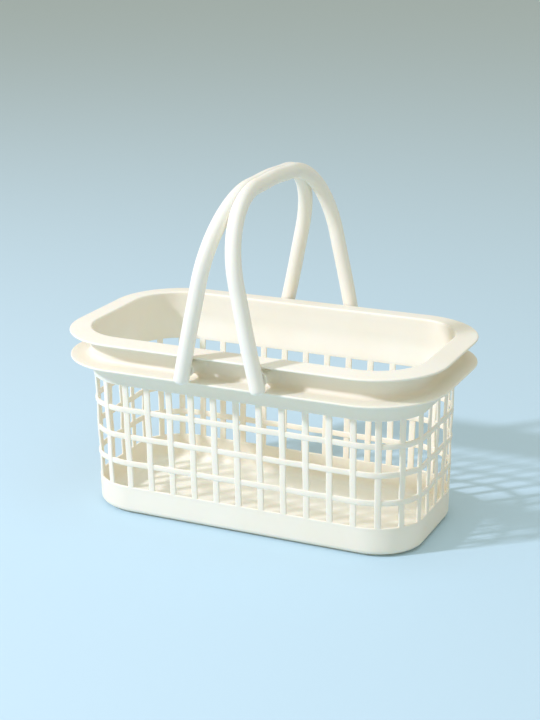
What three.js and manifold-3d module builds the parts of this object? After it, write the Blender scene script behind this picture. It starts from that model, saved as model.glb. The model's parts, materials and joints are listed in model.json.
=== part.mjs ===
// Bath caddy: a rectangular lattice basket with a double-flanged rim and two swinging bail handles.
// Millimetres, +Z up, +X along the length. The origin is under the middle of the base.
// The basket is one moulding. It is built here as zones that stand JOIN apart.

import * as THREE from 'three';
import { mergeVertices } from 'three/addons/utils/BufferGeometryUtils.js';
import Module from 'manifold-3d';

const wasm = await Module();
wasm.setup();

// ---- Driving dimensions ----

const JOIN = 0.3; // gap between neighbouring solids that touch on the real object

// Rim: two parallel flanges with a channel between them
const RIM_LENGTH = 340;
const RIM_WIDTH = 192;
const RIM_CORNER_RADIUS = 62;
const FLANGE_OVERHANG = 17.4; // from the wall's outer face to the flanges' edge
const FLANGE_THICKNESS = 2.1;
const RIM_HEIGHT = 164; // the upper flange's top face
const CHANNEL_HEIGHT = 21.9; // clear height between the flanges
const LIP_HEIGHT = 3.8; // the upper flange's turned-down edge, from its top face

// Wall: it leans in towards the base, a little more steeply in the band under the lower flange
const WALL = 2.2;
const FLARE_END = 0.5;
const FLARE_SIDE = 4;
const DRAFT_END = 1.4;
const DRAFT_SIDE = 5;

// Lattice: upright posts and three level bars, between the band above and the skirt below
const SKIRT_HEIGHT = 26.3; // the skirt's top, from the ground
const BAND_HEIGHT = 17.8;
const HOLE_ROWS = 4;
const BAR_HEIGHT = 5.2;
const POST_WIDTH = 5.8;
const POST_PITCH = 20.9; // between posts along the long sides, and nearly so round the ends

// Base: the skirt ends above the ground, and the floor steps down inside it to a low foot
const FLOOR_THICKNESS = 2.4;
const FOOT_HEIGHT = 1.8;
const FOOT_INSET = 5.4; // from the skirt's outer face

// Handles: round bars bent to an arch, each hinged on two stubs outside the rim
const HANDLE_DIAMETER = 13;
const HANDLE_SIDE_CLEARANCE = 0.8; // legs to the flanges' edge
const HANDLE_END_CLEARANCE = 1.7; // grip to the rim's end, when folded level
const PIVOT_SPACING = 65.4;
const FOOT_BELOW_PIVOT = 10.6;
const GRIP_RISE = 1.2;
const GRIP_OFFSET = 2.6; // from the middle plane to the grip's own centre line
const STUB_DIAMETER = 7;
const STUB_CLEARANCE = 0.3;
const STUB_END_GAP = 2.5; // from the stub's end to the wall
const BOSS_WALL = 2;
const BOSS_RIM = 0.6; // how far the boss's tip stands out from its neck
const BOSS_ROOT_CLEARANCE = 1; // from the boss's root to each flange
const BOSS_RIM_LENGTH = 2.5;
const BOSS_FLARE_SHARE = 0.55; // share of a boss's length that flares out to the wall

// How finely the round parts are divided
const CORNER_CURVE_SEGMENTS = 4;
const BAR_SIDES = 12;
const SHOULDER_STEPS = 10;
const LEG_STEPS = 4;
const GRIP_STEPS = 2;
const ROUND_SEGMENTS = 16;
const FLARE_POINTS = 4;

// ---- Sizes worked out from them ----

const wallHalfLength = RIM_LENGTH / 2 - FLANGE_OVERHANG;
const wallHalfWidth = RIM_WIDTH / 2 - FLANGE_OVERHANG;
const wallRadius = RIM_CORNER_RADIUS - FLANGE_OVERHANG;
const upperFlangeBottom = RIM_HEIGHT - FLANGE_THICKNESS;
const lowerFlangeTop = upperFlangeBottom - CHANNEL_HEIGHT;
const lowerFlangeBottom = lowerFlangeTop - FLANGE_THICKNESS;
const latticeTop = lowerFlangeBottom - BAND_HEIGHT;
const pivotHeight = (lowerFlangeTop + upperFlangeBottom) / 2;
const barRadius = HANDLE_DIAMETER / 2;
const legOffset = RIM_WIDTH / 2 + HANDLE_SIDE_CLEARANCE + barRadius;
const pivotOffset = PIVOT_SPACING / 2;
const handleReach = RIM_LENGTH / 2 - pivotOffset + HANDLE_END_CLEARANCE + barRadius;
const shoulderRadius = RIM_CORNER_RADIUS + HANDLE_SIDE_CLEARANCE + barRadius;
const handleLean = Math.asin((pivotOffset - GRIP_OFFSET) / handleReach);

// ---- Solids ----

function toSolid(geometry) {
  const bare = geometry.clone();
  bare.deleteAttribute('normal');
  bare.deleteAttribute('uv');
  const merged = mergeVertices(bare);
  const vertProperties = new Float32Array(merged.attributes.position.array);
  const triVerts = new Uint32Array(merged.index.array);
  return new wasm.Manifold(new wasm.Mesh({ numProp: 3, vertProperties, triVerts }));
}

function toGeometry(solid) {
  const { vertProperties, triVerts } = solid.getMesh();
  const geometry = new THREE.BufferGeometry();
  geometry.setAttribute('position', new THREE.BufferAttribute(new Float32Array(vertProperties), 3));
  geometry.setIndex(new THREE.BufferAttribute(new Uint32Array(triVerts), 1));
  geometry.computeVertexNormals();
  return geometry;
}

function moveVertices(geometry, change) {
  const position = geometry.attributes.position;
  const point = new THREE.Vector3();
  for (let i = 0; i < position.count; i += 1) {
    point.fromBufferAttribute(position, i);
    change(point);
    position.setXYZ(i, point.x, point.y, point.z);
  }
  geometry.computeVertexNormals();
  return geometry;
}

function box(x0, x1, y0, y1, z0, z1) {
  const geometry = new THREE.BoxGeometry(x1 - x0, y1 - y0, z1 - z0);
  geometry.translate((x0 + x1) / 2, (y0 + y1) / 2, (z0 + z1) / 2);
  return geometry;
}

// ---- Outlines ----

// The wall's outline, moved outward by `out` (inward when negative).
function traceOutline(path, out) {
  const x = wallHalfLength + out;
  const y = wallHalfWidth + out;
  const r = wallRadius + out;
  path.moveTo(x, r - y);
  path.lineTo(x, y - r);
  path.absarc(x - r, y - r, r, 0, Math.PI / 2, false);
  path.lineTo(r - x, y);
  path.absarc(r - x, y - r, r, Math.PI / 2, Math.PI, false);
  path.lineTo(-x, r - y);
  path.absarc(r - x, r - y, r, Math.PI, 1.5 * Math.PI, false);
  path.lineTo(x - r, -y);
  path.absarc(x - r, r - y, r, 1.5 * Math.PI, 2 * Math.PI, false);
  return path;
}

function plate(out, bottom, top, hole) {
  const shape = traceOutline(new THREE.Shape(), out);
  if (hole !== undefined) {
    shape.holes.push(traceOutline(new THREE.Path(), hole));
  }
  const options = { depth: top - bottom, bevelEnabled: false, curveSegments: CORNER_CURVE_SEGMENTS };
  return new THREE.ExtrudeGeometry(shape, options).translate(0, 0, bottom);
}

// How far the wall stands inside its rim outline at a height, on the ends and on the sides.
function wallInset(z, flare, draft) {
  if (z >= lowerFlangeBottom) return 0;
  if (z >= latticeTop) return (flare * (lowerFlangeBottom - z)) / (lowerFlangeBottom - latticeTop);
  return flare + (draft * (latticeTop - z)) / latticeTop;
}

function taper(geometry) {
  return moveVertices(geometry, (point) => {
    point.x *= 1 - wallInset(point.z, FLARE_END, DRAFT_END) / wallHalfLength;
    point.y *= 1 - wallInset(point.z, FLARE_SIDE, DRAFT_SIDE) / wallHalfWidth;
  });
}

// ---- Basket ----

function baseFloor() {
  const top = FOOT_HEIGHT + FLOOR_THICKNESS;
  const stepEnd = -FOOT_INSET - FLOOR_THICKNESS;
  const sheet = toSolid(plate(-FOOT_INSET, 0, FLOOR_THICKNESS));
  const riser = toSolid(plate(-FOOT_INSET, 0, top, stepEnd));
  const ledge = toSolid(plate(-WALL - JOIN, FOOT_HEIGHT, top, stepEnd));
  return taper(toGeometry(sheet.add(riser).add(ledge)));
}

const baseSkirt = () => taper(plate(0, FOOT_HEIGHT, SKIRT_HEIGHT - JOIN, -WALL));

const rimBand = () => taper(plate(0, latticeTop, lowerFlangeBottom - JOIN, -WALL));

const channelWall = () => plate(0, lowerFlangeBottom, upperFlangeBottom - JOIN, -WALL);

const lowerFlange = () => plate(FLANGE_OVERHANG, lowerFlangeBottom, lowerFlangeTop, JOIN);

// The upper flange's edge is turned down.
function upperFlange() {
  const top = toSolid(plate(FLANGE_OVERHANG, upperFlangeBottom, RIM_HEIGHT, -WALL));
  const lipInside = FLANGE_OVERHANG - FLANGE_THICKNESS;
  const lip = plate(FLANGE_OVERHANG, RIM_HEIGHT - LIP_HEIGHT, upperFlangeBottom, lipInside);
  return toGeometry(top.add(toSolid(lip)));
}

// A point on the front right quarter of the wall's outline, `s` along it from the middle of the
// front, and the direction that the wall faces there.
function quarterPoint(s) {
  const straight = wallHalfLength - wallRadius;
  const arc = (Math.PI / 2) * wallRadius;
  if (s < straight) return { x: s, y: -wallHalfWidth, angle: -Math.PI / 2 };
  const cornerY = wallRadius - wallHalfWidth;
  if (s > straight + arc) return { x: wallHalfLength, y: cornerY + s - straight - arc, angle: 0 };
  const angle = (s - straight) / wallRadius - Math.PI / 2;
  return {
    x: straight + wallRadius * Math.cos(angle),
    y: cornerY + wallRadius * Math.sin(angle),
    angle,
  };
}

// Posts stand from the middle of a long side (step 0) to the middle of an end (the last step):
// at the full pitch along the flat of the side, and evenly over what is left.
const quarterLength = wallHalfLength + wallHalfWidth + (Math.PI / 2 - 2) * wallRadius;
const sideSteps = Math.floor((wallHalfLength - wallRadius) / POST_PITCH);
const roundRun = quarterLength - POST_PITCH * sideSteps;
const roundSteps = Math.round(roundRun / POST_PITCH);
const endSteps = Math.floor((wallHalfWidth - wallRadius) / (roundRun / roundSteps));

function postPlace(step) {
  return POST_PITCH * Math.min(step, sideSteps) + (roundRun / roundSteps) * Math.max(step - sideSteps, 0);
}

function latticeHoles() {
  const holeHeight = (latticeTop - SKIRT_HEIGHT - BAR_HEIGHT * (HOLE_ROWS - 1)) / HOLE_ROWS;
  let holes = null;
  for (let step = 0; step < sideSteps + roundSteps; step += 1) {
    const width = postPlace(step + 1) - postPlace(step) - POST_WIDTH;
    const place = quarterPoint((postPlace(step) + postPlace(step + 1)) / 2);
    for (let row = 0; row < HOLE_ROWS; row += 1) {
      const isTop = row === HOLE_ROWS - 1;
      const bottom = row === 0 ? SKIRT_HEIGHT - 1 : SKIRT_HEIGHT + row * (holeHeight + BAR_HEIGHT);
      const top = isTop ? latticeTop + 1 : SKIRT_HEIGHT + row * (holeHeight + BAR_HEIGHT) + holeHeight;
      for (const [mx, my] of [[1, 1], [-1, 1], [1, -1], [-1, -1]]) {
        const cutter = box(-4 * WALL, 4 * WALL, -width / 2, width / 2, bottom, top);
        cutter.rotateZ(Math.atan2(my * Math.sin(place.angle), mx * Math.cos(place.angle)));
        cutter.translate(mx * place.x, my * place.y, 0);
        holes = holes ? holes.add(toSolid(cutter)) : toSolid(cutter);
      }
    }
  }
  return holes;
}

const latticeRing = toSolid(plate(0, SKIRT_HEIGHT, latticeTop - JOIN, -WALL)).subtract(latticeHoles());

// The part of the lattice between two distances from the middle plane along X, and two along Y.
// A side of 0 takes in both sides of the middle plane.
function latticeZone(sideX, nearX, farX, sideY, nearY, farY) {
  const xs = sideX === 0 ? [-farX, farX] : [sideX * nearX, sideX * farX].sort((a, b) => a - b);
  const ys = sideY === 0 ? [-farY, farY] : [sideY * nearY, sideY * farY].sort((a, b) => a - b);
  const zone = box(xs[0], xs[1], ys[0], ys[1], SKIRT_HEIGHT - 1, latticeTop + 1);
  return taper(toGeometry(latticeRing.intersect(toSolid(zone))));
}

// Where the flat lattices end, at the outer edge of their last post
const sideLatticeEnd = quarterPoint(postPlace(sideSteps) + POST_WIDTH / 2).x;
const endLatticeEnd = -quarterPoint(postPlace(sideSteps + roundSteps - endSteps) - POST_WIDTH / 2).y;

const longLattice = (my) => latticeZone(0, 0, sideLatticeEnd, my, 0, RIM_WIDTH);

const endLattice = (mx) => latticeZone(mx, 0, RIM_LENGTH, 0, 0, endLatticeEnd);

const cornerLattice = (mx, my) => latticeZone(
  mx, sideLatticeEnd + JOIN, RIM_LENGTH,
  my, endLatticeEnd + JOIN, RIM_WIDTH,
);

// A blind boss that flares out to the wall and holds one stub of a handle.
function pivotBoss(mx, my) {
  const base = wallHalfWidth + JOIN;
  const tip = legOffset - barRadius - JOIN;
  const boreRadius = STUB_DIAMETER / 2 + STUB_CLEARANCE;
  const neckRadius = boreRadius + BOSS_WALL;
  const tipRadius = neckRadius + BOSS_RIM;
  const rootRadius = CHANNEL_HEIGHT / 2 - BOSS_ROOT_CLEARANCE;
  const boreEnd = wallHalfWidth + STUB_END_GAP - STUB_CLEARANCE;
  const flareEnd = base + (tip - base) * BOSS_FLARE_SHARE;
  const flare = new THREE.QuadraticBezierCurve(
    new THREE.Vector2(rootRadius, base),
    new THREE.Vector2(neckRadius, base + (flareEnd - base) / 3),
    new THREE.Vector2(neckRadius, flareEnd),
  );
  const profile = [
    new THREE.Vector2(0, base),
    ...flare.getPoints(FLARE_POINTS),
    new THREE.Vector2(tipRadius, tip - BOSS_RIM_LENGTH),
    new THREE.Vector2(tipRadius, tip),
    new THREE.Vector2(boreRadius, tip),
    new THREE.Vector2(boreRadius, boreEnd),
    new THREE.Vector2(0, boreEnd),
  ];
  const geometry = new THREE.LatheGeometry(profile, ROUND_SEGMENTS);
  if (my < 0) geometry.rotateZ(Math.PI);
  return geometry.translate(mx * pivotOffset, 0, pivotHeight);
}

// ---- Handles ----

// The arch's centre line in its own upright plane, with the pivot axis at height 0.
function archPath() {
  const shoulderStart = handleReach - shoulderRadius;
  const half = [];
  for (let i = 0; i <= LEG_STEPS; i += 1) {
    half.push([legOffset, -FOOT_BELOW_PIVOT + ((shoulderStart + FOOT_BELOW_PIVOT) * i) / LEG_STEPS]);
  }
  for (let i = 1; i <= SHOULDER_STEPS; i += 1) {
    const angle = ((Math.PI / 2) * i) / SHOULDER_STEPS;
    const across = legOffset - shoulderRadius + shoulderRadius * Math.cos(angle);
    half.push([across, shoulderStart + shoulderRadius * Math.sin(angle)]);
  }
  const gripEnd = legOffset - shoulderRadius;
  for (let i = 1; i <= GRIP_STEPS; i += 1) {
    half.push([gripEnd * (1 - i / GRIP_STEPS), handleReach + (GRIP_RISE * i) / GRIP_STEPS]);
  }
  const back = half.map(([y, z]) => new THREE.Vector3(0, y, z));
  const front = half.slice(0, -1).map(([y, z]) => new THREE.Vector3(0, -y, z));
  return new THREE.CatmullRomCurve3([...front, ...back.reverse()], false, 'centripetal');
}

function handleBar() {
  const section = new THREE.Shape();
  section.absarc(0, 0, barRadius, 0, 2 * Math.PI, false);
  const steps = 2 * (LEG_STEPS + SHOULDER_STEPS + GRIP_STEPS) + 4;
  return new THREE.ExtrudeGeometry(section, {
    steps,
    curveSegments: BAR_SIDES / 2,
    bevelEnabled: false,
    extrudePath: archPath(),
  });
}

function handleStub(my) {
  const inner = wallHalfWidth + STUB_END_GAP;
  const radius = STUB_DIAMETER / 2;
  const stub = new THREE.CylinderGeometry(radius, radius, legOffset - inner, ROUND_SEGMENTS);
  return stub.translate(0, (my * (legOffset + inner)) / 2, 0);
}

// What lies beyond the other side of the middle plane, above the handles' lower half.
function beyondMiddle(mx) {
  const near = (-mx * RIM_LENGTH) / 2 + (mx * JOIN) / 2;
  const bottom = pivotHeight + handleReach / 2;
  const top = pivotHeight + 2 * handleReach;
  return box(near - RIM_LENGTH / 2, near + RIM_LENGTH / 2, -RIM_WIDTH, RIM_WIDTH, bottom, top);
}

// An arch with its two stubs, leaning in so that its grip meets the other one flat against flat.
function handle(mx) {
  const pieces = [handleBar(), handleStub(1), handleStub(-1)];
  for (const piece of pieces) {
    piece.rotateY(-mx * handleLean).translate(mx * pivotOffset, 0, pivotHeight);
  }
  const [bar, ...stubs] = pieces.map(toSolid);
  const whole = stubs.reduce((sum, stub) => sum.add(stub), bar);
  return toGeometry(whole.subtract(toSolid(beyondMiddle(mx))));
}

// ---- Assembly ----

const plastic = (color, roughness) => new THREE.MeshStandardMaterial({ color, roughness, metalness: 0 });

const basketPlastic = () => plastic(0xf3efe3, 0.45);

const handlePlastic = () => plastic(0xf1efe6, 0.38);

const caddy = new THREE.Group();

function addPart(name, geometry, material) {
  const mesh = new THREE.Mesh(geometry, material);
  mesh.name = name;
  caddy.add(mesh);
}

addPart('base_floor', baseFloor(), basketPlastic());
addPart('base_skirt', baseSkirt(), basketPlastic());
addPart('rim_band', rimBand(), basketPlastic());
addPart('channel_wall', channelWall(), basketPlastic());
addPart('lower_flange', lowerFlange(), basketPlastic());
addPart('upper_flange', upperFlange(), basketPlastic());

const ends = [['left', -1], ['right', 1]];
const sides = [['front', -1], ['back', 1]];

for (const [side, my] of sides) {
  addPart(`${side}_lattice`, longLattice(my), basketPlastic());
}
for (const [end, mx] of ends) {
  addPart(`${end}_end_lattice`, endLattice(mx), basketPlastic());
  for (const [side, my] of sides) {
    addPart(`${side}_${end}_corner_lattice`, cornerLattice(mx, my), basketPlastic());
    addPart(`${side}_${end}_pivot_boss`, pivotBoss(mx, my), basketPlastic());
  }
  addPart(`${end}_handle`, handle(mx), handlePlastic());
}

export default caddy;
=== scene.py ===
"""The looks of a bath caddy: a woven-lattice basket in cream plastic, with two folding bail handles.

Every piece is built in metres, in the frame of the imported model, and rides on one of its bodies. The basket
is one moulding on the real caddy. Here its zones are separate pieces that meet edge to edge.
"""

import json
import logging
import math
from collections.abc import Callable, Iterable
from dataclasses import dataclass
from enum import Enum

import bmesh
import bpy
from mathutils import Matrix, Vector


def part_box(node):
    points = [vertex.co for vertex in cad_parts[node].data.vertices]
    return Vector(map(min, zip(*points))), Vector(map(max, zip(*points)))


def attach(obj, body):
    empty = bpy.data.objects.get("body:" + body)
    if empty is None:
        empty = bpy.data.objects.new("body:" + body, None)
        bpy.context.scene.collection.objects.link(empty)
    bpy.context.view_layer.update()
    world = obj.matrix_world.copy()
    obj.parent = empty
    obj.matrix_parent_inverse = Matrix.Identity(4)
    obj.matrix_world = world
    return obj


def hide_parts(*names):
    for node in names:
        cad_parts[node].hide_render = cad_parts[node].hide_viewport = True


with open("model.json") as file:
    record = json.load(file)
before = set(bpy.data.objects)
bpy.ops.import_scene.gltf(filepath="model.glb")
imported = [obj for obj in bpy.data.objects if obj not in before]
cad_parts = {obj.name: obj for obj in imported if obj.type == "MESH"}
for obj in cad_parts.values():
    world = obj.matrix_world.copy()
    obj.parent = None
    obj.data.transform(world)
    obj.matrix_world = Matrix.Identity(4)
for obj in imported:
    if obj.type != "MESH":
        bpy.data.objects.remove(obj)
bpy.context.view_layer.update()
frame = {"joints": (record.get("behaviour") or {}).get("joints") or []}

MM = 0.001
TOUCH = 0.001 * MM
ROUNDING_ANGLES = tuple(math.radians(angle) for angle in (0, 30, 60, 90))
AXIS_X = Vector((1, 0, 0))
AXIS_Y = Vector((0, 1, 0))
AXIS_Z = Vector((0, 0, 1))
LOG = logging.getLogger("bath_caddy")


class Slot(Enum):
    """The material slots of the caddy's record."""

    BASKET = "basket_plastic"
    HANDLE = "handle_plastic"


class Half(Enum):
    """One half of the caddy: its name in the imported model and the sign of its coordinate."""

    @property
    def label(self) -> str:
        """The half's name."""
        return self.value[0]

    @property
    def sign(self) -> int:
        """The sign of its coordinate."""
        return self.value[1]


class Side(Half):
    """The two long sides, on either side of Y = 0."""

    FRONT = ("front", -1)
    BACK = ("back", 1)


class End(Half):
    """The two short ends, on either side of X = 0."""

    LEFT = ("left", -1)
    RIGHT = ("right", 1)


# ---- Camera and light ----


def direction(azimuth: float, elevation: float) -> Vector:
    """Points from the caddy to where something stands.

    Args:
        azimuth: Its angle round the caddy, from straight in front towards the right.
        elevation: Its angle above the floor.

    Returns:
        The direction, one metre long.
    """
    level = math.cos(elevation)
    return Vector((math.sin(azimuth) * level, -math.cos(azimuth) * level, math.sin(elevation)))


@dataclass(frozen=True)
class View:
    """The camera: a long lens that looks down at the caddy from its front right."""

    azimuth: float = math.radians(24.58)
    elevation: float = math.radians(17.77)
    roll: float = math.radians(-0.30)
    distance: float = 1.37705
    target: Vector = Vector((-0.00209, 0, 0.13454))
    lens: float = 106.64
    sensor: float = 36.0
    nearest: float = 0.05

    def build(self) -> None:
        """Adds the camera and makes it the scene's own."""
        data = bpy.data.cameras.new("camera")
        data.sensor_fit = "HORIZONTAL"
        data.sensor_width = self.sensor
        data.lens = self.lens
        data.clip_start = self.nearest
        camera = bpy.data.objects.new("camera", data)
        bpy.context.scene.collection.objects.link(camera)
        back = direction(self.azimuth, self.elevation)
        turn = back.to_track_quat("Z", "Y").to_matrix() @ Matrix.Rotation(self.roll, 3, "Z")
        camera.matrix_world = Matrix.Translation(self.target + back * self.distance) @ turn.to_4x4()
        bpy.context.scene.camera = camera


@dataclass(frozen=True)
class SoftLight:
    """One square studio light that faces the middle of the basket."""

    name: str
    azimuth: float
    elevation: float
    distance: float
    width: float
    power: float
    colour: tuple[float, float, float]
    aim_height: float = 0.12

    def build(self) -> None:
        """Adds the light where its angles say."""
        data = bpy.data.lights.new(self.name, "AREA")
        data.size = self.width
        data.energy = self.power
        data.color = self.colour
        lamp = bpy.data.objects.new(self.name, data)
        bpy.context.scene.collection.objects.link(lamp)
        towards = direction(self.azimuth, self.elevation)
        place = AXIS_Z * self.aim_height + towards * self.distance
        lamp.matrix_world = Matrix.Translation(place) @ towards.to_track_quat("Z", "Y").to_matrix().to_4x4()


@dataclass(frozen=True)
class RoomLight:
    """The soft light that comes from all round."""

    colour: tuple[float, float, float, float] = (0.98, 0.88, 0.71, 1)
    strength: float = 0.6

    def build(self) -> None:
        """Sets the scene's world, and shows colours as they are."""
        world = bpy.data.worlds.new("studio")
        world.use_nodes = True
        background = world.node_tree.nodes["Background"]
        background.inputs["Color"].default_value = self.colour
        background.inputs["Strength"].default_value = self.strength
        bpy.context.scene.world = world
        bpy.context.scene.view_settings.view_transform = "Standard"


KEY_LIGHT = SoftLight(
    name="key",
    azimuth=math.radians(-46),
    elevation=math.radians(34),
    distance=3.0,
    width=0.2,
    power=68,
    colour=(0.82, 0.83, 0.99),
)
TOP_LIGHT = SoftLight(
    name="overhead",
    azimuth=math.radians(40),
    elevation=math.radians(75),
    distance=2.4,
    width=2.2,
    power=22,
    colour=(0.45, 0.74, 1.0),
)


# ---- Shader nodes ----


class Graph:
    """The node tree of one material."""

    def __init__(self, name: str) -> None:
        """Starts a material whose tree is empty.

        Args:
            name: The material's name.
        """
        self.material = bpy.data.materials.new(name)
        self.material.use_nodes = True
        self.tree = self.material.node_tree
        self.tree.nodes.clear()

    def node(self, kind: str, settings: dict | None = None, inputs: dict | None = None) -> bpy.types.Node:
        """Adds one node.

        Args:
            kind: The node's type.
            settings: Its own settings, such as a Math node's operation, set first.
            inputs: A value, socket or Amount for each input, by name or number.

        Returns:
            The new node.
        """
        made = self.tree.nodes.new(kind)
        for key, value in (settings or {}).items():
            setattr(made, key, value)
        for key, value in (inputs or {}).items():
            if isinstance(value, Amount):
                value = value.socket
            if isinstance(value, bpy.types.NodeSocket):
                self.tree.links.new(value, made.inputs[key])
            else:
                made.inputs[key].default_value = value
        return made

    def noise(self, place: bpy.types.NodeSocket, scale: float, detail: float, strength: float) -> "Amount":
        """Adds a field of noise.

        Args:
            place: The socket that carries the place.
            scale: How many lumps it has in a metre.
            detail: How many finer layers are laid over it.
            strength: How strong each finer layer is beside the one before.

        Returns:
            The noise, from 0 to 1.
        """
        inputs = {"Vector": place, "Scale": scale, "Detail": detail, "Roughness": strength}
        return Amount(self, self.node("ShaderNodeTexNoise", None, inputs).outputs[0])

    def place(self) -> bpy.types.NodeSocket:
        """The socket that carries the place on the object."""
        return self.node("ShaderNodeTexCoord").outputs["Object"]

    def finish(self, inputs: dict) -> bpy.types.Material:
        """Adds the surface.

        Args:
            inputs: The values and links of its sockets.

        Returns:
            The finished material.
        """
        shader = self.node("ShaderNodeBsdfPrincipled", None, inputs)
        self.node("ShaderNodeOutputMaterial", None, {"Surface": shader.outputs["BSDF"]})
        return self.material

    def blend(self, share: "Amount", first: "Colour", second: "Colour") -> bpy.types.NodeSocket:
        """Mixes two colours.

        Args:
            share: How much of the second colour shows.
            first: The colour, or its socket, at a share of 0.
            second: The colour, or its socket, at a share of 1.

        Returns:
            The socket of the mixed colour.
        """
        mixed = self.node(
            "ShaderNodeMix",
            {"data_type": "RGBA"},
            {"Factor": share, 6: first, 7: second},
        )
        return mixed.outputs[2]


class Amount:
    """A number in a shader. Arithmetic on it adds Math nodes."""

    def __init__(self, graph: Graph, socket: bpy.types.NodeSocket) -> None:
        """Wraps a socket.

        Args:
            graph: The tree that the socket is in.
            socket: The output that carries the number.
        """
        self.graph = graph
        self.socket = socket

    def _math(self, operation: str, first: "Number", second: "Number" = 0.0) -> "Amount":
        """Adds one Math node and wraps its result."""
        made = self.graph.node("ShaderNodeMath", {"operation": operation}, {0: first, 1: second})
        return Amount(self.graph, made.outputs[0])

    def __add__(self, other: "Number") -> "Amount":
        """This plus a number."""
        return self._math("ADD", self, other)

    def __radd__(self, other: "Number") -> "Amount":
        """A number plus this."""
        return self._math("ADD", other, self)

    def __mul__(self, other: "Number") -> "Amount":
        """This times a number."""
        return self._math("MULTIPLY", self, other)

    def __rmul__(self, other: "Number") -> "Amount":
        """A number times this."""
        return self._math("MULTIPLY", other, self)

    def between(self, low: float, high: float) -> "Amount":
        """How far this has gone from one value to another, from 0 to 1, easing at both.

        Args:
            low: The value that gives 0.
            high: The value that gives 1.

        Returns:
            The share.
        """
        made = self.graph.node(
            "ShaderNodeMapRange",
            {"interpolation_type": "SMOOTHSTEP"},
            {"Value": self, "From Min": low, "From Max": high},
        )
        return Amount(self.graph, made.outputs["Result"])


Number = Amount | float
Colour = bpy.types.NodeSocket | tuple[float, float, float, float]


def srgb(red: int, green: int, blue: int) -> tuple[float, float, float, float]:
    """Turns a screen colour into the linear colour that a shader takes.

    Args:
        red: Red, from 0 to 255.
        green: Green, from 0 to 255.
        blue: Blue, from 0 to 255.

    Returns:
        The linear colour, opaque.
    """
    parts = [part / 255 for part in (red, green, blue)]
    linear = [part / 12.92 if part <= 0.04045 else ((part + 0.055) / 1.055) ** 2.4 for part in parts]
    return (*linear, 1.0)


@dataclass(frozen=True)
class MouldedPlastic:
    """Satin polypropylene as it leaves the mould: a fine grain, faint flow marks and shallow sinks."""

    name: str
    colour: tuple[float, float, float, float]
    warm: tuple[float, float, float, float]
    gloss_loss: float
    grain_depth: float
    worn_from: float
    worn_to: float
    worn_change: float
    grain_scale: float = 1500
    grain_strength: float = 0.35
    grain_gloss_loss: float = 0.06
    flow_scale: float = 16
    flow_share: float = 0.7
    flow_gloss_loss: float = 0.08
    sink_depth: float = 0.5 * MM
    sink_strength: float = 0.5
    blotch_scale: float = 220
    layering: float = 0.55
    refraction: float = 1.49
    glow: float = 0.2
    glow_depth: float = 1.5 * MM
    glow_colour: tuple[float, float, float] = (1.0, 0.72, 0.42)

    def build(self) -> bpy.types.Material:
        """Makes the material.

        Returns:
            The finished material.
        """
        graph = Graph(self.name)
        place = graph.place()
        flow = graph.noise(place, self.flow_scale, 3, self.layering)
        grain = graph.noise(place, self.grain_scale, 2, self.layering)
        blotch = graph.noise(place, self.blotch_scale, 4, self.layering)
        height = Amount(graph, graph.node("ShaderNodeSeparateXYZ", None, {0: place}).outputs["Z"])
        worn = height.between(self.worn_from, self.worn_to) * blotch.between(0.25, 0.75)
        tone = flow.between(0.3, 0.7) * self.flow_share + blotch * (1 - self.flow_share)
        change = self.grain_gloss_loss * grain + self.flow_gloss_loss * flow + self.worn_change * worn
        return graph.finish({
            "Base Color": graph.blend(tone, self.colour, self.warm),
            "Roughness": self.gloss_loss + change,
            "Normal": self._relief(graph, grain, flow),
            "IOR": self.refraction,
            "Subsurface Weight": self.glow,
            "Subsurface Radius": self.glow_colour,
            "Subsurface Scale": self.glow_depth,
        })

    def _relief(self, graph: Graph, grain: Amount, flow: Amount) -> bpy.types.NodeSocket:
        """Adds the shallow sinks and the fine grain of the mould.

        Args:
            graph: The material's tree.
            grain: The fine noise.
            flow: The broad noise.

        Returns:
            The socket of the changed normal.
        """
        sinks = graph.node("ShaderNodeBump", None, {
            "Strength": self.sink_strength,
            "Distance": self.sink_depth,
            "Height": flow,
        })
        fine = graph.node("ShaderNodeBump", None, {
            "Strength": self.grain_strength,
            "Distance": self.grain_depth,
            "Height": grain,
            "Normal": sinks.outputs[0],
        })
        return fine.outputs[0]


BASKET_PLASTIC = MouldedPlastic(
    name="cream_basket_plastic",
    colour=srgb(247, 242, 227),
    warm=srgb(245, 238, 219),
    gloss_loss=0.40,
    grain_depth=0.03 * MM,
    worn_from=4 * MM,
    worn_to=0.0,
    worn_change=0.2,
)
HANDLE_PLASTIC = MouldedPlastic(
    name="cream_handle_plastic",
    colour=srgb(247, 243, 231),
    warm=srgb(245, 240, 224),
    gloss_loss=0.36,
    grain_depth=0.02 * MM,
    worn_from=240 * MM,
    worn_to=300 * MM,
    worn_change=-0.1,
)


# ---- Mesh work ----


@dataclass(frozen=True)
class Corner:
    """One corner of a section: how far it lies outside the wall's face, its height and its rounding."""

    out: float
    z: float
    rounding: float = 0.0
    steps: int = 5


def pick(items: Iterable, kind: type) -> list:
    """Picks the corners, edges or faces out of what a bmesh operator gives back."""
    return [item for item in items if isinstance(item, kind)]


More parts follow.
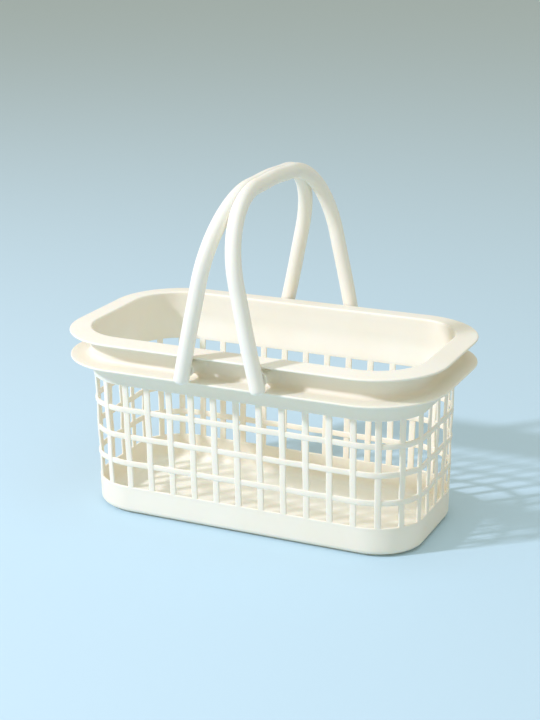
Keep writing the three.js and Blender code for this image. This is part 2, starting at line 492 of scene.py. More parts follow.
class Blank:
    """A mesh while it is being shaped."""

    CREASE = math.radians(38)
    MERGE = 0.002 * MM

    def __init__(self) -> None:
        """Starts with an empty mesh."""
        self.mesh = bmesh.new()

    def wire(self, places: Iterable[Vector], closed: bool) -> list[bmesh.types.BMVert]:
        """Draws a line through some points.

        Args:
            places: The points.
            closed: Whether the last point joins the first.

        Returns:
            The line's vertices, in order.
        """
        verts = [self.mesh.verts.new(place) for place in places]
        for first, second in zip(verts, verts[1:]):
            self.mesh.edges.new((first, second))
        if closed:
            self.mesh.edges.new((verts[-1], verts[0]))
        return verts

    def round_off(self, items: list, by: float, steps: int) -> None:
        """Rounds the corners of a line or of a flat face, or the edges between faces.

        Args:
            items: The corners, or else the edges.
            by: How far from the corner or edge the curve starts.
            steps: How many parts the curve has.
        """
        bmesh.ops.bevel(
            self.mesh,
            geom=items,
            offset=by,
            offset_type="OFFSET",
            affect="VERTICES" if isinstance(items[0], bmesh.types.BMVert) else "EDGES",
            segments=steps,
            profile=0.5,
            material=-1,
        )

    def push(self, edges: list[bmesh.types.BMEdge], step: Vector) -> list[bmesh.types.BMEdge]:
        """Draws a line or a ring out into a wall.

        Args:
            edges: The line's edges.
            step: How far it goes.

        Returns:
            The edges at the wall's far side.
        """
        made = bmesh.ops.extrude_edge_only(self.mesh, edges=edges)["geom"]
        verts = pick(made, bmesh.types.BMVert)
        bmesh.ops.translate(self.mesh, verts=verts, vec=step)
        return [edge for edge in pick(made, bmesh.types.BMEdge) if set(verts).issuperset(edge.verts)]

    def turn(
        self,
        edges: list[bmesh.types.BMEdge],
        centre: Vector,
        axis: Vector,
        angle: float,
        steps: int,
    ) -> list[bmesh.types.BMEdge]:
        """Sweeps a line or a ring round an axis.

        Args:
            edges: The line's edges.
            centre: A point on the axis.
            axis: The axis's direction.
            angle: How far it turns.
            steps: How many faces the turn has.

        Returns:
            The edges at the far side of the turn.
        """
        verts = list(dict.fromkeys(vert for edge in edges for vert in edge.verts))
        made = bmesh.ops.spin(
            self.mesh,
            geom=verts + edges,
            cent=centre,
            axis=axis,
            angle=angle,
            steps=steps,
            use_merge=math.isclose(abs(angle), math.tau),
        )["geom_last"]
        return pick(made, bmesh.types.BMEdge)

    def reshape(self, change: Callable[[Vector], Vector]) -> None:
        """Moves every vertex.

        Args:
            change: Gives a vertex's new place from its old one.
        """
        for vert in self.mesh.verts:
            vert.co = change(vert.co.copy())

    def close(self) -> None:
        """Joins the seams and turns the faces outwards."""
        bmesh.ops.remove_doubles(self.mesh, verts=self.mesh.verts[:], dist=self.MERGE)
        bmesh.ops.dissolve_degenerate(self.mesh, edges=self.mesh.edges[:], dist=self.MERGE / 2)
        bmesh.ops.recalc_face_normals(self.mesh, faces=self.mesh.faces[:])

    def finish(self, name: str) -> bpy.types.Object:
        """Turns the mesh into an object with smooth faces and crisp creases.

        Args:
            name: The object's name.

        Returns:
            The new object, at the origin.
        """
        for face in self.mesh.faces:
            face.smooth = True
        for edge in self.mesh.edges:
            edge.smooth = edge.calc_face_angle(math.pi) < self.CREASE
        data = bpy.data.meshes.new(name)
        self.mesh.to_mesh(data)
        self.mesh.free()
        made = bpy.data.objects.new(name, data)
        bpy.context.scene.collection.objects.link(made)
        return made


def settle(
    piece: bpy.types.Object,
    body: str,
    nodes: Iterable[str],
    material: bpy.types.Material,
) -> None:
    """Dresses a finished piece and puts it in the place of its solids.

    Args:
        piece: The piece.
        body: The body that it rides on.
        nodes: The solids that it stands for.
        material: Its finish.
    """
    piece.data.materials.append(material)
    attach(piece, body)
    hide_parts(*nodes)
    LOG.info("%s: %d faces on %s", piece.name, len(piece.data.polygons), body)


# ---- Studio floor ----


@dataclass(frozen=True)
class PaleFloor:
    """The matt paper that the caddy stands on."""

    colour: tuple[float, float, float, float] = srgb(196, 222, 234)
    half_size: float = 20.0
    gloss_loss: float = 0.75
    fibre_gloss_loss: float = 0.1
    fibre_scale: float = 900

    def build(self) -> None:
        """Lays the floor under the caddy."""
        blank = Blank()
        bmesh.ops.create_grid(blank.mesh, x_segments=1, y_segments=1, size=self.half_size)
        floor = blank.finish("studio_floor")
        graph = Graph("pale_paper")
        fibre = graph.noise(graph.place(), self.fibre_scale, 2, 0.5)
        roughness = self.gloss_loss + self.fibre_gloss_loss * fibre
        floor.data.materials.append(graph.finish({"Base Color": self.colour, "Roughness": roughness}))


# ---- The basket's plan ----


@dataclass(frozen=True)
class Wall:
    """The basket's wall: a rounded oblong in plan that leans in towards the base.

    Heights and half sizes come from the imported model. A run is a distance along the wall's outer face at
    the rim, from the middle of the front towards the right.
    """

    half_length: float
    half_width: float
    band_top: float
    lattice_top: float
    radius: float = 44.6 * MM
    thickness: float = 2.2 * MM
    flare_end: float = 0.5 * MM
    flare_side: float = 4 * MM
    draft_end: float = 1.4 * MM
    draft_side: float = 5 * MM
    knee: float = 5 * MM
    longest_facet: float = 2.5 * MM
    corner_steps: int = 24

    @classmethod
    def from_frame(cls) -> "Wall":
        """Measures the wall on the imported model.

        Returns:
            The wall.
        """
        low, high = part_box("channel_wall")
        return cls(
            half_length=high.x,
            half_width=high.y,
            band_top=low.z,
            lattice_top=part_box("rim_band")[0].z,
        )

    @property
    def flat_x(self) -> float:
        """Half the straight part of a long side."""
        return self.half_length - self.radius

    @property
    def flat_y(self) -> float:
        """Half the straight part of an end."""
        return self.half_width - self.radius

    @property
    def quarter(self) -> float:
        """The run from the middle of a side to the middle of an end."""
        return self.flat_x + self.flat_y + math.pi / 2 * self.radius

    def lean(self, place: Vector) -> Vector:
        """Moves a point of the upright wall to where the leaning wall has it.

        Args:
            place: The point.

        Returns:
            The moved point.
        """
        below_band = self._ramp(self.band_top - place.z)
        below_lattice = self._ramp(self.lattice_top - place.z)
        band = self.band_top - self.lattice_top
        end = self.flare_end / band
        side = self.flare_side / band
        inset_end = end * below_band + (self.draft_end / self.lattice_top - end) * below_lattice
        inset_side = side * below_band + (self.draft_side / self.lattice_top - side) * below_lattice
        place.x *= 1 - inset_end / self.half_length
        place.y *= 1 - inset_side / self.half_width
        return place

    def _ramp(self, depth: float) -> float:
        """Nothing above a height and the depth below it, with a soft knee between.

        Args:
            depth: How far below the height a place is.

        Returns:
            The depth that counts.
        """
        if depth <= -self.knee:
            return 0.0
        if depth >= self.knee:
            return depth
        return (depth + self.knee) ** 2 / (4 * self.knee)

    def place(self, run: float, out: float, z: float) -> Vector:
        """Finds a point near the wall's outer face.

        Args:
            run: How far along the wall.
            out: How far outside its outer face.
            z: The height.

        Returns:
            The point on the leaning wall.
        """
        turn, along = divmod(run, self.quarter)
        turn = int(turn) % 4
        if turn % 2:
            along = self.quarter - along
        arc = math.pi / 2 * self.radius
        angle = min(max((along - self.flat_x) / arc, 0), 1) * math.pi / 2
        x = min(along, self.flat_x) + (self.radius + out) * math.sin(angle)
        y = self.flat_y + (self.radius + out) * math.cos(angle) - max(along - self.flat_x - arc, 0)
        mirror_x = 1 if turn in (0, 1) else -1
        mirror_y = -1 if turn in (0, 3) else 1
        return self.lean(Vector((mirror_x * x, mirror_y * y, z)))

    def ring(self, name: str, corners: list[Corner]) -> bpy.types.Object:
        """Sweeps a section once round the wall.

        Args:
            name: The piece's name.
            corners: The section's corners.

        Returns:
            The finished ring.
        """
        blank = Blank()
        verts = blank.wire((Vector((self.flat_x, -self.half_width - c.out, c.z)) for c in corners), True)
        for vert, corner in zip(verts, corners):
            if corner.rounding:
                blank.round_off([vert], corner.rounding, corner.steps)
        for edge in blank.mesh.edges[:]:
            cuts = int(edge.calc_length() / self.longest_facet)
            if cuts:
                bmesh.ops.subdivide_edges(blank.mesh, edges=[edge], cuts=cuts)
        edges = blank.mesh.edges[:]
        for x, y, step in (
            (1, -1, Vector((0, 2 * self.flat_y, 0))),
            (1, 1, Vector((-2 * self.flat_x, 0, 0))),
            (-1, 1, Vector((0, -2 * self.flat_y, 0))),
            (-1, -1, Vector((2 * self.flat_x, 0, 0))),
        ):
            centre = Vector((x * self.flat_x, y * self.flat_y, 0))
            edges = blank.turn(edges, centre, AXIS_Z, math.pi / 2, self.corner_steps)
            edges = blank.push(edges, step)
        blank.reshape(self.lean)
        blank.close()
        return blank.finish(name)


# ---- Rim ----


@dataclass(frozen=True)
class Rim:
    """The two flanges, the channel between them and the band below: four rings of one moulding."""

    wall: Wall
    upper_low: float
    upper_top: float
    lower_low: float
    lower_top: float
    reach: float
    lattice_seam: float
    lip_rounding: float = 2.0 * MM
    edge_rounding: float = 0.85 * MM
    edge_thickness: float = 2.0 * MM
    cove: float = 4.5 * MM
    under_cove: float = 6.0 * MM
    seam_margin: float = 0.4 * MM

    @classmethod
    def from_frame(cls, wall: Wall, lattice_seam: float) -> "Rim":
        """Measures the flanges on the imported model.

        Args:
            wall: The wall that they stand out from.
            lattice_seam: Where the lattice's own top strip ends and the band starts.

        Returns:
            The rim.
        """
        upper_low, upper_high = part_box("upper_flange")
        lower_low, lower_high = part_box("lower_flange")
        return cls(
            wall=wall,
            upper_low=upper_low.z,
            upper_top=upper_high.z,
            lower_low=lower_low.z,
            lower_top=lower_high.z,
            reach=upper_high.x - wall.half_length,
            lattice_seam=lattice_seam,
        )

    @property
    def upper_under(self) -> float:
        """The height of the upper flange's underside at the wall."""
        return self.upper_top - self.edge_thickness

    @property
    def upper_seam(self) -> float:
        """Where the upper flange's cove has run out into the channel."""
        return self.upper_under - self.cove - self.seam_margin

    @property
    def lower_seam(self) -> float:
        """Where the lower flange's upper cove has run out into the channel."""
        return self.lower_top + self.cove + self.seam_margin

    @property
    def band_seam(self) -> float:
        """Where the lower flange's lower cove has run out into the band."""
        return self.lower_low - self.under_cove - self.seam_margin

    def build(self, material: bpy.types.Material) -> None:
        """Builds the four rings and puts them in place.

        Args:
            material: The basket's finish.
        """
        for name, node, corners in (
            ("upper_ledge", "upper_flange", self._upper_ledge()),
            ("channel_side", "channel_wall", self._wall_strip(self.lower_seam, self.upper_seam)),
            ("lower_ledge", "lower_flange", self._lower_ledge()),
            ("shoulder_band", "rim_band", self._wall_strip(self.lattice_seam, self.band_seam)),
        ):
            settle(self.wall.ring(name, corners), "basket", [node], material)

    def _wall_strip(self, low: float, high: float) -> list[Corner]:
        """The plain section of the wall between two heights."""
        inner = -self.wall.thickness
        return [Corner(0, low), Corner(0, high), Corner(inner, high), Corner(inner, low)]

    def _upper_ledge(self) -> list[Corner]:
        """The upper flange: a rounded inner lip, a top that falls away outwards, and a cove below.

        Returns:
            The section's corners.
        """
        inner = -self.wall.thickness
        return [
            Corner(inner, self.upper_seam),
            Corner(inner, self.upper_top, self.lip_rounding, 8),
            Corner(self.reach, self.upper_low + self.edge_thickness, self.edge_rounding),
            Corner(self.reach, self.upper_low, self.edge_rounding),
            Corner(0, self.upper_under, self.cove, 8),
            Corner(0, self.upper_seam),
        ]

    def _lower_ledge(self) -> list[Corner]:
        """The lower flange, with a cove above it and one below.

        Returns:
            The section's corners.
        """
        inner = -self.wall.thickness
        return [
            Corner(inner, self.band_seam),
            Corner(inner, self.lower_seam),
            Corner(0, self.lower_seam),
            Corner(0, self.lower_top, self.cove, 8),
            Corner(self.reach, self.lower_top, self.edge_rounding),
            Corner(self.reach, self.lower_low, self.edge_rounding),
            Corner(0, self.lower_low, self.under_cove, 8),
            Corner(0, self.band_seam),
        ]


# ---- Base ----


@dataclass(frozen=True)
class Base:
    """The solid skirt that the lattice stands on, the low foot set in below it, and the floor inside."""

    wall: Wall
    skirt_seam: float
    foot_height: float
    skirt_rounding: float = 4.2 * MM
    foot_inset: float = 5.4 * MM
    foot_draft: float = 0.5 * MM
    foot_rounding: float = 0.4 * MM
    floor_top: float = 2.4 * MM
    floor_cove: float = 6.5 * MM
    floor_start: float = 9 * MM

    def build(self, material: bpy.types.Material) -> None:
        """Builds the skirt and the floor and puts them in place.

        Args:
            material: The basket's finish.
        """
        settle(self.wall.ring("foot_skirt", self._skirt()), "basket", ["base_skirt"], material)
        settle(self._floor(), "basket", ["base_floor"], material)

    def _skirt(self) -> list[Corner]:
        """The skirt's section, with the edge of the floor.

        Returns:
            The section's corners.
        """
        inner = -self.wall.thickness
        return [
            Corner(0, self.skirt_seam),
            Corner(0, self.foot_height, self.skirt_rounding, 8),
            Corner(-self.foot_inset, self.foot_height, self.foot_rounding, 3),
            Corner(-self.foot_inset - self.foot_draft, 0, self.foot_rounding, 3),
            Corner(-self.floor_start, 0),
            Corner(-self.floor_start, self.floor_top),
            Corner(inner, self.floor_top, self.floor_cove, 9),
            Corner(inner, self.skirt_seam),
        ]

    def _floor(self) -> bpy.types.Object:
        """Builds the floor plate inside the skirt's own edge.

        Returns:
            The finished plate.
        """
        blank = Blank()
        wall = self.wall
        bmesh.ops.create_grid(blank.mesh, x_segments=1, y_segments=1, size=1)
        size = Vector((wall.half_length - self.floor_start, wall.half_width - self.floor_start, 1))
        bmesh.ops.scale(blank.mesh, verts=blank.mesh.verts[:], vec=size)
        for vert in blank.mesh.verts[:]:
            blank.round_off([vert], wall.radius - self.floor_start, wall.corner_steps)
        made = bmesh.ops.extrude_face_region(blank.mesh, geom=blank.mesh.faces[:], use_keep_orig=True)
        verts = pick(made["geom"], bmesh.types.BMVert)
        bmesh.ops.translate(blank.mesh, verts=verts, vec=AXIS_Z * self.floor_top)
        blank.reshape(wall.lean)
        blank.close()
        return blank.finish("floor_plate")


# ---- Woven lattice ----


PANELS = (
    "front",
    "front_right_corner",
    "right_end",
    "back_right_corner",
    "back",
    "back_left_corner",
    "left_end",
    "front_left_corner",
)


@dataclass(frozen=True)
class Strand:
    """One post or bar of the lattice: its place and width, and how it steps in and out along its length.

    A stop is a level stretch along the strand: its middle, its half width, and how far the strand stands
    in front of the wall's own face there.
    """

    middle: float
    half: float
    rounding: float
    stops: tuple[tuple[float, float, float], ...]

    def lines(self, step: float) -> list[float]:
        """The grid lines that the strand needs, with one a step outside each of its edges.

        Args:
            step: How far outside its edge a neighbour's surface starts.

        Returns:
            The lines, in order.
        """
        offsets = [self.half - self.rounding * (1 - math.sin(angle)) for angle in ROUNDING_ANGLES]
        offsets.append(self.half + step)
        return [self.middle + offset for offset in (*(-offset for offset in reversed(offsets)), 0, *offsets)]

    def fall(self, at: float, crown: float) -> float | None:
        """How far the strand's face lies below its crest.

        Args:
            at: The place across the strand.
            crown: How much lower the face is where its rounded edge starts.

        Returns:
            The depth, or None outside the strand.
        """
        off = abs(at - self.middle)
        if off > self.half + TOUCH:
            return None
        flat = self.half - self.rounding
        gentle = crown * min(off / flat, 1) ** 2
        into = min(max(off - flat, 0), self.rounding)
        return gentle + self.rounding - math.sqrt(self.rounding ** 2 - into ** 2)

    def lift(self, along: float) -> float:
        """How far the strand stands in front of the wall's own face, going smoothly from stop to stop.

        Args:
            along: The place along the strand.

        Returns:
            The distance.
        """
        for (middle, half, value), (next_middle, next_half, next_value) in zip(self.stops, self.stops[1:]):
            if along <= next_middle + next_half:
                start = middle + half
                share = min(max((along - start) / (next_middle - next_half - start), 0), 1)
                return value + (next_value - value) * (1 - math.cos(math.pi * share)) / 2
        return self.stops[-1][2]


@dataclass(frozen=True)
class Weave:
    """The lattice: posts and bars that pass in front of each other by turns, moulded in eight panels."""

    wall: Wall
    skirt_top: float
    post_width: float = 5.8 * MM
    bar_height: float = 5.2 * MM
    pitch: float = 20.9 * MM
    bars: int = 3
    lift: float = 0.3 * MM
    crown: float = 0.15 * MM
    rounding: float = 0.85 * MM
    back_rounding: float = 0.6 * MM
    step: float = 0.25 * MM
    margin: float = 2.0 * MM
    eased: int = 5

    @property
    def side_steps(self) -> int:
        """How many post pitches fit on the straight half of a long side."""
        return int(self.wall.flat_x / self.pitch)

    @property
    def round_steps(self) -> int:
        """How many post pitches there are from there to the middle of an end."""
        return round((self.wall.quarter - self.side_steps * self.pitch) / self.pitch)

    @property
    def quarter_steps(self) -> int:
        """How many post pitches a quarter of the wall has."""
        return self.side_steps + self.round_steps

    @property
    def skirt_seam(self) -> float:
        """Where the skirt ends and the lattice's own bottom strip starts."""
        return self.skirt_top - self.margin

    @property
    def band_seam(self) -> float:
        """Where the lattice's own top strip ends and the band starts."""
        return self.wall.lattice_top + self.margin

    def post_run(self, number: float) -> float:
        """The run of a post, or of a place between posts.

        Args:
            number: The post's number, from 0 in the middle of the front.

        Returns:
            The run.
        """
        turn, step = divmod(number, self.quarter_steps)
        if turn % 2:
            step = self.quarter_steps - step
        round_pitch = (self.wall.quarter - self.side_steps * self.pitch) / self.round_steps
        run = self.pitch * min(step, self.side_steps) + round_pitch * max(step - self.side_steps, 0)
        if turn % 2:
            return (turn + 1) * self.wall.quarter - run
        return turn * self.wall.quarter + run

    def bar_height_at(self, number: int) -> float:
        """The height of a bar's middle, by its number from the bottom."""
        hole = (self.wall.lattice_top - self.skirt_top - self.bars * self.bar_height) / (self.bars + 1)
        return self.skirt_top + (number + 1) * hole + (number + 0.5) * self.bar_height

    def build(self, material: bpy.types.Material) -> None:
        """Builds the eight panels and puts them in place.

        Args:
            material: The basket's finish.
        """
        side = self.side_steps + 0.5
        end = int(self.wall.flat_y / self.pitch) + 0.5
        first = -side
        for number, name in enumerate(PANELS):
            quarter = (number + 1) // 2
            half = end if quarter % 2 else side
            last = quarter * self.quarter_steps + (-half if number % 2 else half)
            piece = self._panel(f"woven_{name}", first, last)
            settle(piece, "basket", [f"{name}_lattice"], material)
            first = last

    def _panel(self, name: str, first: float, last: float) -> bpy.types.Object:
        """Builds the panel between two places among the posts.

        Args:
            name: The piece's name.
            first: The place, by post number, where the panel starts.
            last: The place where it ends.

        Returns:
            The finished panel.
        """
        numbers = range(math.ceil(first), math.floor(last) + 1)
        posts = [self._post(number) for number in numbers]
        bars = [self._bar(number, numbers) for number in range(self.bars)]
        columns = self._fill([self.post_run(first), *self._lines(posts), self.post_run(last)])
        strips = [self.skirt_seam, *self._strip(self.skirt_top, -1)]
        tops = [*self._strip(self.wall.lattice_top, 1), self.band_seam]
        rows = self._fill([*strips, *self._lines(bars), *tops])
        blank = Blank()
        bmesh.ops.create_grid(blank.mesh, x_segments=len(columns) - 1, y_segments=len(rows) - 1, size=1)
        blank.reshape(lambda place: self._spread(place, columns, rows))
        gaps = [face for face in blank.mesh.faces if self._is_gap(face.calc_center_median(), posts, bars)]
        bmesh.ops.delete(blank.mesh, geom=gaps, context="FACES")
        bmesh.ops.solidify(blank.mesh, geom=blank.mesh.faces[:], thickness=self.wall.thickness)
        blank.reshape(lambda place: self._shape(place, posts, bars))
        blank.close()
        return blank.finish(name)

    def _post(self, number: int) -> Strand:
        """Lays out one post, from the skirt to the band.

        Args:
            number: The post's number.

        Returns:
            The post.
        """
        half = self.bar_height / 2
        stops = [(self.bar_height_at(bar), half, -self._bar_lift(bar, number)) for bar in range(self.bars)]
        ends = [(self.skirt_top, 0.0, 0.0), (self.wall.lattice_top, 0.0, 0.0)]
        return Strand(self.post_run(number), self.post_width / 2, self.rounding, (ends[0], *stops, ends[1]))

    def _bar(self, number: int, posts: range) -> Strand:
        """Lays out one bar, from the post before a panel to the post after it.

        Args:
            number: The bar's number, from the bottom.
            posts: The numbers of the panel's posts.

        Returns:
            The bar.
        """
        half = self.post_width / 2
        crossed = range(posts.start - 1, posts.stop + 1)
        stops = tuple((self.post_run(post), half, self._bar_lift(number, post)) for post in crossed)
        return Strand(self.bar_height_at(number), self.bar_height / 2, self.rounding, stops)

    def _bar_lift(self, bar: int, post: int) -> float:
        """How far a bar stands out where it crosses a post. It passes in front of every other one."""
        return self.lift if (bar + post) % 2 else -self.lift

    def _lines(self, strands: list[Strand]) -> list[float]:
        """The grid lines of some strands, in order."""
        return [line for strand in strands for line in strand.lines(self.step)]

    def _strip(self, edge: float, side: int) -> list[float]:
        """The grid lines of a rounded edge above or below the holes.

        Args:
            edge: The height of the holes' end.
            side: 1 where the solid wall is above it, -1 where it is below.

        Returns:
            The lines, in order.
        """
        lines = [edge - side * self.step]
        lines += [edge + side * self.rounding * (1 - math.sin(angle)) for angle in ROUNDING_ANGLES]
        return sorted(lines)

    def _fill(self, lines: list[float]) -> list[float]:
        """Adds evenly spaced lines across each wide gap between lines.

        Args:
            lines: The lines that have to be there, in order.

        Returns:
            All the lines, in order.
        """
        wide = self.post_width / 2
        filled = [lines[0]]
        for before, after in zip(lines, lines[1:]):
            parts = self.eased if after - before > wide else 1
            filled += [before + (after - before) * part / parts for part in range(1, parts + 1)]
        return filled

    @staticmethod
    def _spread(place: Vector, columns: list[float], rows: list[float]) -> Vector:
        """Moves a point of an even grid, which reaches from -1 to 1, onto its own column and row.

        Args:
            place: The point.
            columns: The runs of the columns.
            rows: The heights of the rows.

        Returns:
            The point on the flat panel.
        """
        column = round((place.x + 1) / 2 * (len(columns) - 1))
        row = round((place.y + 1) / 2 * (len(rows) - 1))
        return Vector((columns[column], rows[row], 0))

    def _is_gap(self, place: Vector, posts: list[Strand], bars: list[Strand]) -> bool:
        """Whether a place on the flat panel lies in a hole.

        Args:
            place: The place.
            posts: The panel's posts.
            bars: Its bars.

        Returns:
            Whether neither a post, a bar nor the solid wall is there.
        """
        if not self.skirt_top < place.y < self.wall.lattice_top:
            return False
        on_post = any(post.fall(place.x, 0) is not None for post in posts)
        return not on_post and not any(bar.fall(place.y, 0) is not None for bar in bars)

    def _shape(self, place: Vector, posts: list[Strand], bars: list[Strand]) -> Vector:
        """Lifts or sinks a point of the flat panel as the weave has it, and bends it onto the wall.

        Args:
            place: The point, with its run as x, its height as y and its depth as z.
            posts: The panel's posts.
            bars: Its bars.

        Returns:
            The point on the wall.
        """
        run, z = place.x, place.y
        is_front = place.z > -self.wall.thickness / 2
        faces = []
        for strand, across, along in (*((post, run, z) for post in posts), *((bar, z, run) for bar in bars)):
            fall = strand.fall(across, self.crown)
            if fall is not None:
                faces.append((strand.lift(along), fall))
        if not self.skirt_top < z < self.wall.lattice_top:
            faces.append((0.0, self._strip_fall(z)))
        if is_front:
            out = max(lift - fall for lift, fall in faces)
        else:
            share = self.back_rounding / self.rounding
            out = min(lift + share * fall for lift, fall in faces) - self.wall.thickness
        return self.wall.place(run, out, z)

    def _strip_fall(self, z: float) -> float:
        """How far the solid wall's face drops at the rounded edge of the holes.

        Args:
            z: The height.

        Returns:
            The depth.
        """
        beyond = max(self.skirt_top - z, z - self.wall.lattice_top)
        into = min(max(self.rounding - beyond, 0), self.rounding)
        return self.rounding - math.sqrt(self.rounding ** 2 - into ** 2)


# ---- Pivot bosses ----


@dataclass(frozen=True)
class PivotBoss:
    """A blind boss that flares out into the channel and holds one stub of a handle."""

    side: Side
    end: End
    pivot: Vector
    wall_y: float
    tip_y: float
    bore: float = 3.8 * MM
    neck: float = 5.7 * MM
    tip: float = 6.3 * MM
    root: float = 11.4 * MM
    rim_length: float = 1.8 * MM
    flare_length: float = 12.0 * MM
    flare_steps: int = 12
    bore_bottom: float = 2.2 * MM
    sunk: float = 0.8 * MM
    edge_rounding: float = 0.4 * MM
    tip_rounding: float = 0.5 * MM
    edge_steps: int = 4
    turns: int = 48

    def build(self, material: bpy.types.Material) -> None:
        """Builds the boss and puts it in place.

        Args:
            material: The basket's finish.
        """
        name = f"{self.side.label}_{self.end.label}_pivot"
        blank = Blank()
        points = self._outline()
        verts = blank.wire((Vector((x, y, 0)) for x, y, _ in points), False)
        for vert, (_, _, rounding) in zip(verts, points):
            if rounding:
                blank.round_off([vert], rounding, self.edge_steps)
        blank.turn(blank.mesh.edges[:], Vector(), AXIS_Y, math.tau, self.turns)
        blank.reshape(lambda place: Vector((place.x, self.side.sign * place.y, place.z)) + self.pivot)
        blank.close()
        settle(blank.finish(f"{name}_collar"), "basket", [f"{name}_boss"], material)

    def _outline(self) -> list[tuple[float, float, float]]:
        """Draws the boss's half section.

        Returns:
            Each corner's radius, distance from the middle plane, and rounding.
        """
        points = [(0.0, self.wall_y - self.sunk, 0.0), (self.root, self.wall_y - self.sunk, 0.0)]
        for stage in range(self.flare_steps + 1):
            angle = math.pi / 2 * stage / self.flare_steps
            radius = self.root - (self.root - self.neck) * math.sin(angle)
            points.append((radius, self.wall_y + self.flare_length * (1 - math.cos(angle)), 0.0))
        points += [
            (self.neck, self.tip_y - self.rim_length, self.edge_rounding),
            (self.tip, self.tip_y - self.rim_length, self.edge_rounding),
            (self.tip, self.tip_y, self.tip_rounding),
            (self.bore, self.tip_y, self.edge_rounding),
            (self.bore, self.wall_y + self.bore_bottom, 0.0),
            (0.0, self.wall_y + self.bore_bottom, 0.0),
        ]
        return points


# ---- Handles ----


def joint_place(name: str) -> Vector:
    """Where a joint's axis passes the middle plane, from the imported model."""
    joint = next(joint for joint in frame["joints"] if joint["name"] == name)
    return Vector(joint["pos_m"])


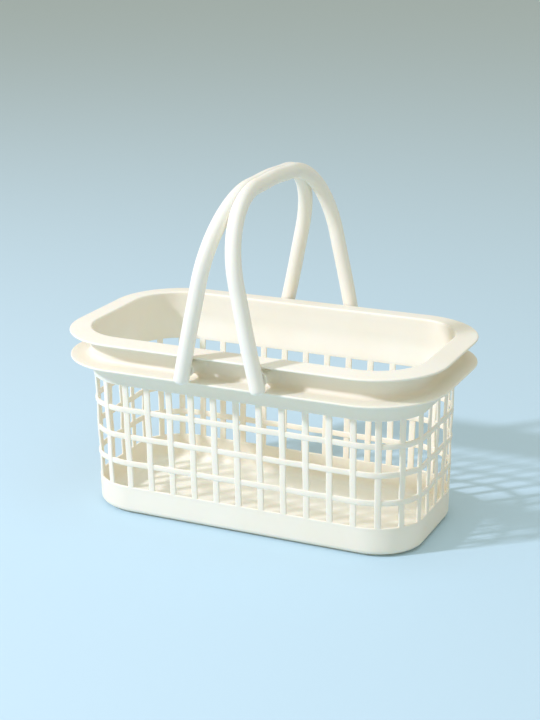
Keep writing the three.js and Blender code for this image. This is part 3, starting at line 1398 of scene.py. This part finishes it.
@dataclass(frozen=True)
class BailHandle:
    """A round bar bent to an arch, which leans in until its grip meets the other one, flat against flat."""

    end: End
    pivot: Vector
    leg_y: float
    reach: float
    shoulder: float
    radius: float = 6.5 * MM
    end_gap: float = 1.7 * MM
    boss_gap: float = 0.3 * MM
    foot: float = 10.6 * MM
    foot_rounding: float = 4.4 * MM
    foot_rounding_steps: int = 7
    grip_offset: float = 2.6 * MM
    grip_rise: float = 1.2 * MM
    leg_bow: float = 1.0 * MM
    split: float = 0.15 * MM
    stub_radius: float = 3.5 * MM
    stub_end: float = 81.1 * MM
    stub_sides: int = 24
    stub_rounding: float = 0.6 * MM
    stub_rounding_steps: int = 3
    sides: int = 32
    leg_steps: int = 10
    shoulder_steps: int = 24
    grip_steps: int = 6

    @classmethod
    def from_frame(cls, end: End, rim: Rim) -> "BailHandle":
        """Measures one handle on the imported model.

        Args:
            end: The end that it folds down to.
            rim: The rim that it clears.

        Returns:
            The handle.
        """
        node = f"{end.label}_handle"
        pivot = joint_place(f"{node}_fold")
        leg_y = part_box(node)[1].y - cls.radius
        half_rim = rim.wall.half_length + rim.reach
        return cls(
            end=end,
            pivot=pivot,
            leg_y=leg_y,
            reach=half_rim - abs(pivot.x) + cls.end_gap + cls.radius,
            shoulder=rim.wall.radius + leg_y - rim.wall.half_width,
        )

    @property
    def boss_tip(self) -> float:
        """How far from the middle plane the bosses end, just inside the legs."""
        return self.leg_y - self.radius - self.boss_gap

    @property
    def lean(self) -> float:
        """How far the arch leans in, as an angle."""
        return math.asin((abs(self.pivot.x) - self.grip_offset) / self.reach)

    def build(self, material: bpy.types.Material) -> None:
        """Builds the handle and puts it in place.

        Args:
            material: The handles' finish.
        """
        name = self.end.label
        blank = Blank()
        self._half_arch(blank)
        blank.reshape(self._relax)
        self._stub(blank)
        bmesh.ops.mirror(
            blank.mesh,
            geom=blank.mesh.verts[:] + blank.mesh.edges[:] + blank.mesh.faces[:],
            matrix=Matrix.Identity(4),
            merge_dist=blank.MERGE,
            axis="Y",
        )
        turn = Matrix.Translation(self.pivot) @ Matrix.Rotation(-self.end.sign * self.lean, 4, "Y")
        blank.reshape(lambda place: turn @ place)
        blank.close()
        self._split_grip(blank)
        settle(blank.finish(f"{name}_bail"), f"{name}_handle", [f"{name}_handle"], material)

    def _half_arch(self, blank: Blank) -> None:
        """Draws the front half of the bar from its foot to the middle of its grip.

        Args:
            blank: The mesh that it is drawn in.
        """
        mesh = blank.mesh
        bmesh.ops.create_circle(mesh, cap_ends=True, radius=self.radius, segments=self.sides)
        bmesh.ops.translate(mesh, verts=mesh.verts[:], vec=Vector((0, -self.leg_y, -self.foot)))
        straight = self.reach - self.shoulder + self.foot
        edges = mesh.edges[:]
        foot = edges
        for _ in range(self.leg_steps):
            edges = blank.push(edges, AXIS_Z * (straight / self.leg_steps))
        centre = Vector((0, self.shoulder - self.leg_y, self.reach - self.shoulder))
        edges = blank.turn(edges, centre, AXIS_X, -math.pi / 2, self.shoulder_steps)
        for _ in range(self.grip_steps):
            edges = blank.push(edges, AXIS_Y * ((self.leg_y - self.shoulder) / self.grip_steps))
        blank.round_off(foot, self.foot_rounding, self.foot_rounding_steps)

    def _relax(self, place: Vector) -> Vector:
        """Bows the legs out and the grip up by the little that a moulded bar has.

        Args:
            place: A point of the upright half arch.

        Returns:
            The moved point.
        """
        start = self.reach - self.shoulder
        grip = self.leg_y - self.shoulder
        if place.z < start:
            share = (place.z + self.foot) / (start + self.foot)
            place.y -= self.leg_bow * (1 - math.cos(2 * math.pi * share)) / 2
        elif abs(place.y) < grip:
            place.z += self.grip_rise * (1 + math.cos(math.pi * place.y / grip)) / 2
        return place

    def _stub(self, blank: Blank) -> None:
        """Adds the stub that turns in the front boss.

        Args:
            blank: The mesh of the half arch.
        """
        length = self.leg_y - self.stub_end
        place = Vector((0, -self.leg_y + length / 2, 0))
        made = bmesh.ops.create_cone(
            blank.mesh,
            cap_ends=True,
            segments=self.stub_sides,
            radius1=self.stub_radius,
            radius2=self.stub_radius,
            depth=length,
            matrix=Matrix.Translation(place) @ Matrix.Rotation(math.pi / 2, 4, "X"),
        )["verts"]
        tip = max(vert.co.y for vert in made)
        end = {vert for vert in made if vert.co.y > tip - TOUCH}
        rim = [edge for edge in blank.mesh.edges if end.issuperset(edge.verts)]
        blank.round_off(rim, self.stub_rounding, self.stub_rounding_steps)

    def _split_grip(self, blank: Blank) -> None:
        """Cuts the grip flat where it meets the other handle's.

        Args:
            blank: The whole handle, in its place.
        """
        mesh = blank.mesh
        cut = bmesh.ops.bisect_plane(
            mesh,
            geom=mesh.verts[:] + mesh.edges[:] + mesh.faces[:],
            dist=TOUCH,
            plane_co=AXIS_X * self.end.sign * self.split,
            plane_no=-AXIS_X * self.end.sign,
            clear_outer=True,
        )["geom_cut"]
        bmesh.ops.holes_fill(mesh, edges=pick(cut, bmesh.types.BMEdge), sides=0)
        bmesh.ops.recalc_face_normals(mesh, faces=mesh.faces[:])


# ---- Putting it together ----


def main() -> None:
    """Builds the caddy, from its base to its handles."""
    logging.basicConfig(level=logging.INFO, format="%(message)s")
    View().build()
    PaleFloor().build()
    KEY_LIGHT.build()
    TOP_LIGHT.build()
    RoomLight().build()
    basket = BASKET_PLASTIC.build()
    grip = HANDLE_PLASTIC.build()
    wall = Wall.from_frame()
    weave = Weave(wall, skirt_top=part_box("front_lattice")[0].z)
    Base(wall, weave.skirt_seam, foot_height=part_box("base_skirt")[0].z).build(basket)
    weave.build(basket)
    rim = Rim.from_frame(wall, weave.band_seam)
    rim.build(basket)
    for end in End:
        handle = BailHandle.from_frame(end, rim)
        for side in Side:
            PivotBoss(side, end, handle.pivot, wall.half_width, handle.boss_tip).build(basket)
        handle.build(grip)


if __name__ == "__main__":
    main()
